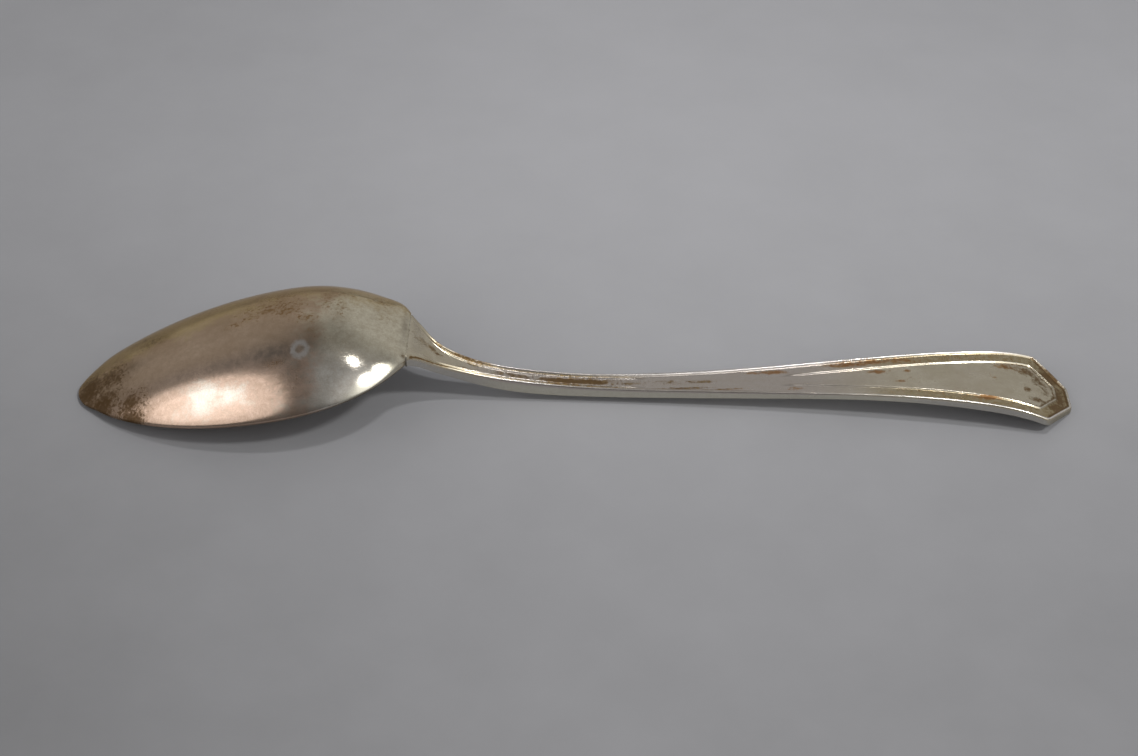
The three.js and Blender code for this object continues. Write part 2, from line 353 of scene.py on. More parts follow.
def start_group(name, inputs, outputs):
    """A shader group with named number inputs besides its Vector, and named number outputs."""
    tree = bpy.data.node_groups.new(name, "ShaderNodeTree")
    tree.interface.new_socket("Vector", in_out="INPUT", socket_type="NodeSocketVector")
    for socket in inputs:
        tree.interface.new_socket(socket, in_out="INPUT", socket_type="NodeSocketFloat")
    for socket in outputs:
        tree.interface.new_socket(socket, in_out="OUTPUT", socket_type="NodeSocketFloat")
    given = tree.nodes.new("NodeGroupInput")
    result = tree.nodes.new("NodeGroupOutput")
    fields = {socket: Field(tree, given.outputs[socket]) for socket in inputs}
    return tree, given.outputs["Vector"], fields, result


# noise values that count as none and as full
CLOUD_CUT = (0.3, 0.7)
MOTTLE_CUT = (0.28, 0.72)
WIPING_ANGLE = math.radians(7)
WIPING_STRETCH = 0.16
SPECK_LEVEL = 0.72
SPECK_GAIN = 0.4


def build_tarnish():
    """Tarnish of old plate: soft clouds, streaks of wiping, mottle, fine grain and brown stains."""
    tree, vector, given, result = start_group(
        "tarnish", ["Cloud Scale", "Grain Scale", "Density"],
        ["Cloud", "Streak", "Mottle", "Grain", "Film", "Specks"])
    cloud = ease(*CLOUD_CUT, noise(tree, vector, given["Cloud Scale"], 5, 0.6))
    wiped = place_node(tree, "ShaderNodeMapping", {
        "Vector": vector, "Rotation": (0, 0, WIPING_ANGLE), "Scale": (WIPING_STRETCH, 1, 1)})
    streak = ease(*CLOUD_CUT, noise(tree, wiped.outputs[0], given["Cloud Scale"] * 4, 4, 0.6))
    mottle = ease(*MOTTLE_CUT, noise(tree, vector, given["Grain Scale"] * 0.6, 5, 0.7))
    grain = ease(*CLOUD_CUT, noise(tree, vector, given["Grain Scale"] * 2.5, 2, 0.6))

    # a denser stain has more specks, and a film that lies thicker in the clouds and the mottle
    level = SPECK_LEVEL - SPECK_GAIN * given["Density"]
    specks = ease(level - 0.1, level + 0.14, noise(tree, vector, given["Grain Scale"], 3, 0.6))
    specks = specks * least(given["Density"] * 6, 1)
    film = least(given["Density"] * (0.35 + 0.5 * cloud + 0.7 * mottle), 1)
    for name, value in (("Cloud", cloud), ("Streak", streak), ("Mottle", mottle), ("Grain", grain),
                        ("Film", film), ("Specks", specks)):
        feed(tree, value, result.inputs[name])
    return tree


# sets of scratches: degrees from the spoon's length, stretch, noise value at which a line starts
SCRATCH_SETS = ((4, 0.012, 0.6), (-11, 0.02, 0.66), (38, 0.03, 0.7))
SCRATCH_SOFTNESS = 0.1


def build_scratches():
    """Hair-fine lines of polishing and use, most of them along the spoon."""
    tree, vector, given, result = start_group("scratches", ["Fineness"], ["Lines", "Height"])
    total = None
    for angle, stretch, cut in SCRATCH_SETS:
        drawn = place_node(tree, "ShaderNodeMapping", {
            "Vector": vector, "Rotation": (0, 0, math.radians(angle)), "Scale": (stretch, 1, 1)})
        fibre = noise(tree, drawn.outputs[0], given["Fineness"], 2, 0.5)
        line = ease(cut, cut + SCRATCH_SOFTNESS, fibre)
        total = line if total is None else total + line
    feed(tree, least(total, 1), result.inputs["Lines"])
    feed(tree, 0 - total, result.inputs["Height"])
    return tree


tarnish = build_tarnish()
scratches = build_scratches()


def read_attribute(tree, name):
    made = place_node(tree, "ShaderNodeAttribute", attribute_name=name)
    return Field(tree, made.outputs["Fac"])


def use_group(tree, group, vector, **values):
    made = place_node(tree, "ShaderNodeGroup", node_tree=group)
    feed(tree, vector, made.inputs["Vector"])
    for name, value in values.items():
        feed(tree, value, made.inputs[name.replace("_", " ")])
    return [Field(tree, socket) for socket in made.outputs]


DROP_MARK_AT = (49.9 * MM, -10.2 * MM)
DROP_MARK_RADIUS = 1.35 * MM
DROP_MARK_WIDTH = 0.9 * MM
SCRATCH_FINENESS = 2600
BUMP_STRENGTH = 0.5
BOWL_BUMP = 0.005 * MM
BOWL_TONES = {
    "dark film": (0.46, 0.34, 0.245, 1),
    "pale film": (0.55, 0.415, 0.31, 1),
    "near film": (0.62, 0.46, 0.37, 1),
    "far silver": (0.805, 0.755, 0.6, 1),
    "near silver": (0.83, 0.8, 0.73, 1),
    "olive": (0.65, 0.53, 0.3, 1),
    "mottle": (0.27, 0.18, 0.1, 1),
    "grain": (0.2, 0.14, 0.09, 1),
    "streak": (0.26, 0.19, 0.12, 1),
    # smudge: grey of the smudges and of the painted dark reflection
    "smudge": (0.17, 0.145, 0.125, 1),
    "drop ring": (0.62, 0.6, 0.58, 1),
    "stain": (0.105, 0.055, 0.018, 1),
    "rusty stain": (0.3, 0.19, 0.075, 1),
    "speck": (0.07, 0.037, 0.013, 1),
    "rusty speck": (0.16, 0.085, 0.028, 1),
    "haze": (0.5, 0.49, 0.38, 1),
    # rim: painted shade on the lower part of the rim's edge
    "rim": (0.17, 0.13, 0.1, 1),
    "glance": (0.78, 0.66, 0.5, 1),
}


def plate_bowl():
    """Brown film over silver plate: dark at the tip, olive at the far edge, bright at the heel."""
    material, tree, shader, coordinates = start_material("bowl_plate")
    tone = BOWL_TONES
    near, rust, smudge, haze, rim = (
        read_attribute(tree, name) for name in ("near", "rust", "smudge", "haze", "rim"))
    cloud, streak, mottle, grain, film, specks = use_group(
        tree, tarnish, coordinates, Cloud_Scale=130, Grain_Scale=1400,
        Density=read_attribute(tree, "stain"))
    scratched, furrows = use_group(tree, scratches, coordinates, Fineness=SCRATCH_FINENESS)
    uneven = (cloud - 0.5) * 0.5 + (mottle - 0.5) * 0.3
    silver = ease(0.25, 0.85, read_attribute(tree, "silver") + uneven)
    olive = ease(0.2, 0.8, read_attribute(tree, "olive") + uneven)
    colour = blend(cloud, tone["dark film"], tone["pale film"])
    colour = blend(near, colour, tone["near film"])
    colour = blend(silver, colour, blend(near, tone["far silver"], tone["near silver"]))
    # the smudges carry a painted dark reflection along the top of the window's highlight
    for name, share in (
            ("olive", olive * (0.5 + 0.4 * streak)),
            ("mottle", mottle * 0.3),
            ("grain", grain * 0.16),
            ("streak", streak * 0.14),
            ("smudge", smudge * (0.5 + 0.5 * mottle))):
        colour = blend(share, colour, tone[name])

    # the pale ring that a dried drop has left
    x, y, _ = split(tree, coordinates)
    x = x + (OVERALL_LENGTH / 2 - DROP_MARK_AT[0])
    y = y - DROP_MARK_AT[1]
    away = reckon("ABSOLUTE", slant(x, y) - DROP_MARK_RADIUS)
    ragged = (mottle - 0.4) * 0.5 * DROP_MARK_WIDTH
    ring = 1 - ease(0.2 * DROP_MARK_WIDTH, DROP_MARK_WIDTH, away + ragged)
    colour = blend(ring * 0.7, colour, tone["drop ring"])

    # stains and specks, the milky corner at the heel and painted shade on the rim
    browned = blend(rust, tone["stain"], tone["rusty stain"])
    rusted = blend(rust, tone["speck"], tone["rusty speck"])
    colour = blend(film * (0.9 - 0.55 * rust), colour, browned)
    colour = blend(specks * 0.85, colour, rusted)
    colour = blend(haze * 0.5, colour, tone["haze"])
    colour = blend(rim * 0.85, colour, tone["rim"])
    rough = 0.13 + 0.04 * cloud + 0.04 * mottle - 0.09 * silver
    rough = rough + 0.14 * film + 0.1 * specks + 0.03 * scratched
    rough = rough + 0.15 * rim + 0.17 * haze
    height = mottle * 0.5 + streak * 0.6 + grain * 0.12
    height = height + furrows * 0.2 + film
    bumps = place_node(tree, "ShaderNodeBump", {
        "Strength": BUMP_STRENGTH, "Distance": BOWL_BUMP, "Height": height})
    coat(tree, shader, Base_Color=colour, Metallic=0.94 - 0.3 * specks, Roughness=rough,
         Specular_Tint=tone["glance"], Normal=bumps.outputs[0])
    return material


# brown stains, grey smudges with a painted dark reflection along the top of the window's highlight,
# and a clean spot on the bowl's back, in mm: along from the tip, across, reach along, reach across;
# the last value is the strength
BOWL_STAINS = [
    (3, -4, 4, 5, 1), (6.5, -9.5, 4.5, 4, 1), (13, -14.8, 5, 2.4, 1),
    (13.5, -11.8, 4.5, 2.8, 0.8), (8.5, -9.5, 4.2, 4.5, 0.65), (8, -3.5, 4.6, 4.6, 0.72),
    (17, 2.5, 4, 2.5, 0.5), (14, 5.5, 4, 1.5, 0.45), (35.5, -1.4, 2.5, 1.1, 0.62),
    (38.5, -0.4, 2.4, 0.9, 0.68), (43, 2, 9, 4, 0.56), (42, 0.8, 3, 1.4, 0.75),
    (46.5, 0, 4, 2, 0.68), (50.5, -2.8, 3, 1.6, 0.62), (51.7, -6.1, 1.2, 0.5, 0.7),
    (43.5, 6, 6, 2, 0.54), (54, 4, 2, 5, 0.56), (57, 1.5, 1.6, 6, 0.5), (57, 7, 3, 2, 0.55),
    (64.8, 7.8, 3, 3, 0.55), (45, -12.4, 2.6, 0.9, 0.55), (49, -15, 4, 4, 0.3),
    (56, -8.5, 6, 4, 0.2), (70.4, -7.4, 0.5, 0.6, 0.6), (66, 3, 2.5, 5, 0.22),
    (28, 8, 6, 3, 0.28),
]
# grey smudges; those about 11 mm to the near side, from 25 to 45 mm along, are a painted dark
# reflection above the window's highlight
SMUDGES_AND_DARK_REFLECTION = [
    (44.5, -10.6, 7, 2, 0.9), (51.5, -9.6, 3.5, 2.6, 0.6), (49, -14, 3.5, 4, 0.4),
    (57, -3, 2, 5, 0.25), (13, -3, 4, 2, 0.4), (70.2, 1, 0.8, 6, 0.5), (35, -11, 8, 1.7, 0.6),
    (25, -10.8, 8, 1.6, 0.4), (50.5, -18.6, 3, 1.6, 0.45),
]
# a cleaner patch of plate under the window's highlight, which also paints that highlight's core
# whiter
CLEAN_AND_HIGHLIGHT_SPOTS = [(32, -16, 9.5, 4, 0.68)]


def lay_points(piece):
    """Where the points of a piece lie, in mm: along from the tip, across, above the table."""
    places = np.zeros(len(piece.data.vertices) * 3)
    piece.data.vertices.foreach_get("co", places)
    along, across, height = places.reshape(-1, 3).T / MM
    return along + OVERALL_LENGTH / MM / 2, across, height


def write_masks(piece, **masks):
    """Writes named values for each point of a piece, which its material reads."""
    for name, values in masks.items():
        layer = piece.data.attributes.new(name, "FLOAT", "POINT")
        layer.data.foreach_set("value", values.astype(np.float32))


def spot_mask(piece, spots):
    """The strongest of some soft oval spots at each point."""
    along, across, _ = lay_points(piece)
    strength = 0 * along
    for x, y, reach_x, reach_y, most_here in spots:
        away = ((along - x) / reach_x) ** 2 + ((across - y) / reach_y) ** 2
        strength = np.maximum(strength, most_here * np.exp(-away))
    return strength


def soft_step(low, high, x):
    """Soft step from 0 at low to 1 at high, for plain numbers."""
    t = np.clip((x - low) / (high - low), 0, 1)
    return t * t * (3 - 2 * t)


# where the bowl's looks start and are full, in mm along from the tip or across; near is negative
SILVER_ALONG = (41, 65)
SILVER_LEAN = 0.15
SILVER_LEAN_LIMIT = -8
OLIVE_ACROSS = (-5, 7)
OLIVE_LEAN = 0.08
OLIVE_LEAN_FROM = 20
OLIVE_THINS_ALONG = (28, 45)
OLIVE_RETURNS_ALONG = (58, 66)
NEAR_ACROSS = (-7, -14)
RUST_ALONG = (20, 30)
RUST_ACROSS = (-9, -2)
HAZE_SLANT = (75.2, 78.4)
HAZE_ACROSS = (-8, -11)
# the lower part of the rim's edge is painted dark as shade, from about 26 mm behind the tip onwards
RIM_SHADE_SHARE = (0.5, 0.85)
RIM_SHADE_ALONG = (26, 42)


def mark_bowl(piece):
    """Writes the bowl's stains, smudges with painted dark reflection, clean heel, olive far edge,
    near side, haze and the rim's painted shade.
    """
    along, across, height = lay_points(piece)
    leaning = along - SILVER_LEAN * np.maximum(across, SILVER_LEAN_LIMIT)
    thinned = 0.5 * soft_step(*OLIVE_THINS_ALONG, along)
    regained = 0.2 * soft_step(*OLIVE_RETURNS_ALONG, along)
    olive = soft_step(*OLIVE_ACROSS, across + OLIVE_LEAN * (OLIVE_LEAN_FROM - along))
    olive = olive * (1 - thinned + regained)
    over_rim = (height * MM + LOWEST - underside(along * MM)) / RIM_EDGE
    write_masks(
        piece,
        stain=spot_mask(piece, BOWL_STAINS),
        smudge=spot_mask(piece, SMUDGES_AND_DARK_REFLECTION),
        silver=np.maximum(soft_step(*SILVER_ALONG, leaning), spot_mask(piece, CLEAN_AND_HIGHLIGHT_SPOTS)),
        olive=olive,
        near=soft_step(*NEAR_ACROSS, across),
        rust=soft_step(*RUST_ALONG, along) * soft_step(*RUST_ACROSS, across),
        haze=soft_step(*HAZE_SLANT, along - across) * soft_step(*HAZE_ACROSS, across),
        # painted shade on the rim's lower edge
        rim=(1 - soft_step(*RIM_SHADE_SHARE, over_rim)) * soft_step(*RIM_SHADE_ALONG, along))


SHARP_ANGLE = math.radians(50)


def finish_mesh(mesh):
    """Faces outwards, soft where the surface runs on and sharp at the flat joint faces."""
    body = bmesh.new()
    body.from_mesh(mesh)
    bmesh.ops.dissolve_degenerate(body, edges=body.edges, dist=MERGE_DISTANCE)
    bmesh.ops.recalc_face_normals(body, faces=body.faces)
    body.to_mesh(mesh)
    body.free()
    mesh.polygons.foreach_set("use_smooth", np.ones(len(mesh.polygons), bool))
    mesh.set_sharp_from_angle(angle=SHARP_ANGLE)


def show(name, mesh):
    piece = bpy.data.objects.new(name, mesh)
    bpy.context.scene.collection.objects.link(piece)
    return piece


bowl_tree = form_bowl()
bowl_maker = show("bowl_maker", bpy.data.meshes.new("bowl_maker"))
bowl_modifier = bowl_maker.modifiers.new("bowl_form", "NODES")
bowl_modifier.node_group = bowl_tree
bowl_inputs = {item.name: item.identifier for item in bowl_tree.interface.items_tree
               if item.in_out == "INPUT"}
bowl_modifier[bowl_inputs["Plate"]] = plate_bowl()
for size_name, size_value in BOWL_SIZES.items():
    bowl_modifier[bowl_inputs[size_name]] = size_value
bowl_formed = bowl_maker.evaluated_get(bpy.context.evaluated_depsgraph_get())
bowl_mesh = bpy.data.meshes.new_from_object(bowl_formed)
bpy.data.objects.remove(bowl_maker)
finish_mesh(bowl_mesh)
bowl = show("spoon_bowl", bowl_mesh)
mark_bowl(bowl)
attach(bowl, "root")
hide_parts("bowl")


# Brazed seam: the thin film of filler between the flat heel faces of bowl and handle.
# It was wiped flush while soft, so that only a fine darker line is left in the valley.
SEAM_LENGTH = 0.3 * MM
SEAM_SINK = 0.01 * MM
NOTCH_DEPTH = 0.35 * MM
NOTCH_SHARE = (0.9, 0.99)
NOTCH_SHADE_SHARE = (0.82, 0.9)
SEAM_SAMPLES = 61
HANDLE_START = BOWL_LENGTH + SEAM_LENGTH
JOINT_HALF = BOWL_HALF_WIDTH * math.sqrt(1 - (1 / HEEL_OVAL_SHARE) ** HEEL_OVAL_POWER)
HEEL_FADE = 2.6 * MM
VALLEY_FADE = 1.8 * MM
VALLEY_RISE = (BOWL_DEPTH - JOINT_THICKNESS) * (
    1 - (1 - VALLEY_ROUND / 2 / (BOWL_LENGTH - DEEPEST_AT)) ** 2)


def heel_change(x, share):
    """How far the rounded heel lies above or below a flat bar, at a share of the half width."""
    share = np.minimum(np.abs(share), 1)
    fading = 1 - soft_step(HANDLE_START, HANDLE_START + HEEL_FADE, x)
    fall = fading * (JOINT_THICKNESS - JOINT_EDGE) * (1 - np.sqrt(1 - share ** SHOULDER_POWER))
    past = np.maximum(x - HANDLE_START, 0) / VALLEY_FADE
    return VALLEY_RISE * (1 - share ** 2) ** (SECTION_POWER / 2) * np.exp(-past * past) - fall


def fill_seam():
    """A ring round the joint, drawn across the gap and closed by two flat faces."""
    share = np.sin(np.linspace(-1, 1, SEAM_SAMPLES) * math.pi / 2)
    notch = SEAM_SINK + NOTCH_DEPTH * soft_step(*NOTCH_SHARE, np.abs(share))
    points = []
    for x in (BOWL_LENGTH, HANDLE_START):
        top = underside(x) + JOINT_THICKNESS + heel_change(HANDLE_START, share) - notch
        bottom = np.full(SEAM_SAMPLES, underside(x) + SEAM_SINK)
        along = np.full(SEAM_SAMPLES, x - OVERALL_LENGTH / 2)
        for side, height in ((share, top), (share[::-1], bottom)):
            points += list(zip(along, side * (JOINT_HALF - NOTCH_DEPTH), height - LOWEST))
    ring = len(points) // 2
    faces = [(i, (i + 1) % ring, ring + (i + 1) % ring, ring + i) for i in range(ring)]
    faces += [tuple(range(ring)), tuple(range(ring, 2 * ring))]
    mesh = bpy.data.meshes.new("spoon_seam")
    mesh.from_pydata([[float(value) for value in point] for point in points], [], faces)
    return mesh


SEAM_TONES = {
    "filler": (0.62, 0.57, 0.46, 1),
    "dull filler": (0.45, 0.4, 0.3, 1),
    "speck": (0.12, 0.09, 0.05, 1),
    # notch: painted shade in the notch at both ends of the seam
    "notch": (0.05, 0.042, 0.03, 1),
}


def braze_seam():
    """Dull filler metal with painted shade in the small notch at both ends."""
    material, tree, shader, coordinates = start_material("seam_filler")
    tone = SEAM_TONES
    cloud, _, mottle, _, _, specks = use_group(
        tree, tarnish, coordinates, Cloud_Scale=400, Grain_Scale=2400, Density=0.35)
    colour = blend(cloud, tone["filler"], tone["dull filler"])
    colour = blend(specks * 0.8, colour, tone["speck"])
    share = reckon("ABSOLUTE", split(tree, coordinates)[1]) / JOINT_HALF
    # the notch is painted dark and matt as shade
    notch = ease(*NOTCH_SHADE_SHARE, share) * (0.8 + 0.2 * mottle)
    colour = blend(notch, colour, tone["notch"])
    rough = 0.35 + 0.25 * specks + 0.3 * notch
    coat(tree, shader, Base_Color=colour, Metallic=1 - notch, Roughness=rough)
    return material


seam_mesh = fill_seam()
finish_mesh(seam_mesh)
seam = show("spoon_seam", seam_mesh)
seam.data.materials.append(braze_seam())
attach(seam, "root")
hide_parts("brazed_seam")


# Handle: struck in one blow from a nickel silver bar, then plated. A rim thread, a channel and
# an inner thread frame a plain panel, and the wide end has two cut corners. Brown tarnish sits
# in the channels and the crests are rubbed bright.
STEM_HALF = 4.66 * MM / 2
END_HALF = 21 * MM / 2
END_FACE_HALF = 6.1 * MM / 2
CORNER_CUT = 6.4 * MM
SHOULDER_AT = OVERALL_LENGTH - CORNER_CUT
HANDLE_THICKNESS = 3.0 * MM
FAN_RUN = 4.4 * MM
WAIST_AT = BOWL_LENGTH + 0.195 * HANDLE_LENGTH
FLARE_POWER = 1.73
THICKNESS_SHARE = [
    (0, 0.8), (0.05, 0.79), (0.12, 0.96), (0.173, 1), (0.26, 0.86), (0.45, 0.67),
    (0.57, 0.575), (0.7, 0.53), (0.8, 0.61), (0.9, 0.665), (1, 0.533),
]
BORDER_RELIEF = 0.45 * MM
THREAD_HEIGHT = 0.3 * MM
FRONT_RELIEF_SHARE = 0.6
BEAD_SHARE = 0.2
FRONT_EDGE_ROUND = 0.25 * MM
BORDER_FADE_IN = 8 * MM
STEM_THREADS_END_SHARE = (0.3, 0.37)
END_THREADS_START_SHARE = (0.55, 0.61)
STEM_BORDER_SHARE = (0.15, 0.32, 0.43, 0.56, 0.69)
END_BORDER_SHARE = (0.033, 0.078, 0.278, 0.314, 0.35)
MIDDLE_SLOPE_RUN = 0.85 * MM
STEM_SLOPE_SHARE = (0.2, 0.37)
END_SLOPE_SHARE = (0.45, 0.66)
FOOT_LIMIT_SHARE = 0.96
SIDE_STATIONS = 300
STATION_POWER = 1.3
CORNER_STATIONS = 20
END_STATIONS = 12
CORNER_PASSES = 3
SOFTENED_POINTS = 40
WALL_STEPS = 6
ROUND_STEPS = 6
BORDER_STEPS = (6, 6, 5, 5, 5)
SLOPE_STEP = 0.01 * MM

edge_thickness, _ = curve_through(along_handle(THICKNESS_SHARE, HANDLE_THICKNESS))


def handle_half(x):
    """Half width: the fan dies away into the stem, and the stem flares to the end."""
    fan = (JOINT_HALF - STEM_HALF) * np.exp((BOWL_LENGTH - x) / FAN_RUN)
    reach = np.maximum(0, (x - WAIST_AT) / (SHOULDER_AT - WAIST_AT))
    return STEM_HALF + fan + (END_HALF - STEM_HALF) * reach ** FLARE_POWER


def handle_slope(x):
    return (handle_half(x + SLOPE_STEP) - handle_half(x - SLOPE_STEP)) / (2 * SLOPE_STEP)


def thread_strength(x):
    """1 where the threads stand out, 0 in the plain middle of the handle."""
    share = (x - BOWL_LENGTH) / HANDLE_LENGTH
    on_stem = 1 - soft_step(*STEM_THREADS_END_SHARE, share)
    return np.maximum(on_stem, soft_step(*END_THREADS_START_SHARE, share))


def border_lines(x):
    """Distances of the border's lines from the edge: edge, crest, foot, three for the thread."""
    share = (x - BOWL_LENGTH) / HANDLE_LENGTH
    t = soft_step(STEM_THREADS_END_SHARE[0], END_THREADS_START_SHARE[1], share)
    crest, foot, *thread = [stem * STEM_HALF * (1 - t) + end * END_HALF * t
                            for stem, end in zip(STEM_BORDER_SHARE, END_BORDER_SHARE)]
    # in the middle the crest runs down to the panel in one longer slope
    plain = soft_step(*STEM_SLOPE_SHARE, share) * (1 - soft_step(*END_SLOPE_SHARE, share))
    foot = foot + (crest + MIDDLE_SLOPE_RUN - foot) * plain
    foot = np.minimum(foot, FOOT_LIMIT_SHARE * thread[0])
    return [0 * x, crest, foot] + thread


def border_drops(x):
    """Depths of those lines below the crest of the rim thread."""
    strength = soft_step(HANDLE_START, HANDLE_START + BORDER_FADE_IN, x)
    floor = BORDER_RELIEF * strength
    thread = floor - THREAD_HEIGHT * strength * thread_strength(x)
    return [BEAD_SHARE * edge_thickness(x) * strength, 0 * x, floor, floor, thread, floor]


SHOULDER_TURN = math.atan(handle_slope(SHOULDER_AT))
CUT_TURN = math.atan2(END_HALF - END_FACE_HALF, CORNER_CUT)
SHOULDER_PULL = (math.tan((SHOULDER_TURN + CUT_TURN) / 2) * math.cos(SHOULDER_TURN)
                 - math.sin(SHOULDER_TURN))
END_PULL = math.tan((math.pi / 2 - CUT_TURN) / 2)


def plan_line(offset):
    """One line round the handle's +Y half at an offset from the edge: side, cut corner, end."""
    end = float(offset(np.array(OVERALL_LENGTH)))
    turn = SHOULDER_AT - end * SHOULDER_PULL
    side = HANDLE_START + (turn - HANDLE_START) * np.linspace(0, 1, SIDE_STATIONS) ** STATION_POWER
    width = handle_half(side) - offset(side) * np.hypot(1, handle_slope(side))
    corner = OVERALL_LENGTH - end, END_FACE_HALF - end * END_PULL
    cut = np.linspace(0, 1, CORNER_STATIONS + 1)[1:]
    across = np.linspace(1, 0, END_STATIONS + 1)[1:]
    cut_x = side[-1] + (corner[0] - side[-1]) * cut
    cut_y = width[-1] + (corner[1] - width[-1]) * cut
    x = np.concatenate([side, cut_x, np.full(END_STATIONS, corner[0])])
    y = np.concatenate([width, cut_y, corner[1] * across])

    # the corners are softened by a few passes over the last points
    first = len(x) - SOFTENED_POINTS
    for _ in range(CORNER_PASSES):
        for line in (x, y):
            line[first:-1] = (line[first - 1:-2] + 2 * line[first:-1] + line[first + 1:]) / 4
    return x, y


def between(lines, place):
    first = min(int(place), len(lines) - 2)
    share = place - first
    return lines[first] * (1 - share) + lines[first + 1] * share


def relief(x, place):
    """Depth below the crest at a place between the border's lines, rounded at crests and feet."""
    drops = border_drops(x)
    first = min(int(place), len(drops) - 2)
    share = place - first
    if first == 0:
        rounded = math.sqrt(1 - (1 - share) ** 2)
    else:
        rounded = (1 - math.cos(math.pi * share)) / 2
    return drops[first] * (1 - rounded) + drops[first + 1] * rounded


bead_places = 1 - np.cos(np.arange(BORDER_STEPS[0]) / BORDER_STEPS[0] * math.pi / 2)
later_places = [first + np.arange(steps) / steps
                for first, steps in enumerate(BORDER_STEPS) if first]
border_places = np.concatenate([bead_places] + later_places + [[len(BORDER_STEPS)]])


def add_panel(patches, sheet, height):
    """The plain field inside the border, whose last row is the border's own end line."""
    rim = sheet[-1]
    corner = SIDE_STATIONS + CORNER_STATIONS
    inward = np.linspace(1, 0, END_STATIONS + 1)
    panel = np.array([rim[:corner] * (1, share, 1) for share in inward])
    panel[:, -1] = rim[corner - 1:]
    panel[..., 2] += height(panel) - height(rim[:corner])
    patches.append(panel)


def front_inset(x, place):
    """Distance of a line of the front from the edge, behind the rounded lower edge."""
    if place < 1:
        return FRONT_EDGE_ROUND + 0 * x
    return np.maximum(between(border_lines(x), place), FRONT_EDGE_ROUND)


def heel_height(points):
    return heel_change(points[..., 0], points[..., 1] / handle_half(points[..., 0]))


def handle_patches():
    """Grids of points for the +Y half: border and panel of the back and the front, and the side."""
    patches = []
    back = []
    for place in border_places:
        x, y = plan_line(lambda x, place=place: between(border_lines(x), place))
        line = np.stack([x, y, underside(x) + edge_thickness(x) - relief(x, place)], -1)
        line[:, 2] += heel_height(line)
        back.append(line)
    patches.append(np.array(back))
    add_panel(patches, back, heel_height)
    front = []
    for place in border_places[BORDER_STEPS[0] - 1:]:
        x, y = plan_line(lambda x, place=place: front_inset(x, place))
        sunk = FRONT_RELIEF_SHARE * relief(x, max(place, 1))
        front.append(np.stack([x, y, underside(x) + sunk], -1))
    patches.append(np.array(front))
    add_panel(patches, front, lambda points: 0 * points[..., 0])

    # side face, with its lower edge rounded over to the front
    top = back[0]
    fall = (0, 0, 1) * (underside(top[:, :1]) + FRONT_EDGE_ROUND - top[:, 2:])
    wall = [top + fall * step for step in np.linspace(0, 1, WALL_STEPS + 1)]
    for turn in np.linspace(0, math.pi / 2, ROUND_STEPS + 1)[1:]:
        x, y = plan_line(lambda x, turn=turn: FRONT_EDGE_ROUND * (1 - math.cos(turn)) + 0 * x)
        wall.append(np.stack([x, y, underside(x) + FRONT_EDGE_ROUND * (1 - math.sin(turn))], -1))
    patches.append(np.array(wall))
    return patches


def weave_patches(name, patches):
    """One closed mesh from grids of points and their mirror images."""
    points, faces, total = [], [], 0
    for patch in patches:
        for mirror in (1, -1):
            rows, columns, _ = patch.shape
            points.append((patch * (1, mirror, 1)).reshape(-1, 3))
            corner = total + np.arange(rows * columns).reshape(rows, columns)
            quads = np.stack(
                [corner[:-1, :-1], corner[:-1, 1:], corner[1:, 1:], corner[1:, :-1]], -1)
            faces.append(quads.reshape(-1, 4))
            total += rows * columns
    points = np.concatenate(points) - (OVERALL_LENGTH / 2, 0, LOWEST)
    mesh = bpy.data.meshes.new(name)
    mesh.from_pydata(points.tolist(), [], np.concatenate(faces).tolist())
    body = bmesh.new()
    body.from_mesh(mesh)
    bmesh.ops.remove_doubles(body, verts=body.verts, dist=MERGE_DISTANCE)
    bmesh.ops.dissolve_degenerate(body, edges=body.edges, dist=MERGE_DISTANCE)
    bmesh.ops.edgeloop_fill(body, edges=[edge for edge in body.edges if edge.is_boundary])
    body.to_mesh(mesh)
    body.free()
    return mesh


# brown stains on the handle's back, given as for the bowl
HANDLE_STAINS = [
    (74.2, 0.9, 1.7, 1.2, 0.5), (75.6, 0.8, 1.4, 1, 0.62), (76.6, 0.2, 1.2, 0.8, 0.7),
    (72.5, 0.3, 2, 2, 0.3), (77, 3.2, 3, 1.1, 0.45), (84, 2.3, 5, 0.55, 0.8),
    (84, 1, 3, 0.7, 0.5), (82, -0.8, 2, 0.4, 0.5), (93, -0.1, 6, 0.9, 0.62),
    (103.5, -0.2, 5.5, 1.05, 1.5), (109, 0.1, 4.5, 0.95, 1.2), (116, -0.2, 4, 0.8, 0.5),
    (126, 0.3, 5, 1, 0.4), (108, 0, 12, 1.6, 0.55), (129, -1.8, 6, 0.4, 0.85),
    (132, 0.2, 4, 0.6, 0.62), (137, -2.4, 5, 0.3, 0.7), (144, 2.6, 3, 0.5, 0.7),
    (147.5, 2.7, 3, 0.6, 1.1), (152, -2.8, 1.6, 0.5, 0.8), (163, 4.4, 4.5, 0.9, 0.95),
    (168, 5, 3.5, 0.8, 0.85), (169.5, 1.8, 2.5, 0.7, 0.8), (174, -1.3, 1.2, 0.4, 0.85),
    (175.5, 2, 0.6, 0.5, 0.9), (197, 4.7, 3, 1, 0.85), (201, 4.4, 2.8, 1.4, 0.85),
    (203.6, 2.4, 1.8, 2.2, 0.75), (204.6, -0.6, 1.6, 2, 0.6), (202.5, -4.2, 2, 0.8, 0.9),
    (200.7, -1.4, 1, 0.9, 1), (193.6, 1, 0.8, 1, 0.55), (191.5, -6, 2.4, 0.6, 0.95),
    (207, 5.6, 2.5, 2.5, 1), (207.6, -1, 1.2, 4, 0.75), (206, -5, 1.8, 1.4, 0.7),
    (206.5, 0, 2.6, 8, 0.4), (173, 5.4, 5, 0.9, 0.5), (177, -1, 6, 2.5, 0.2),
]

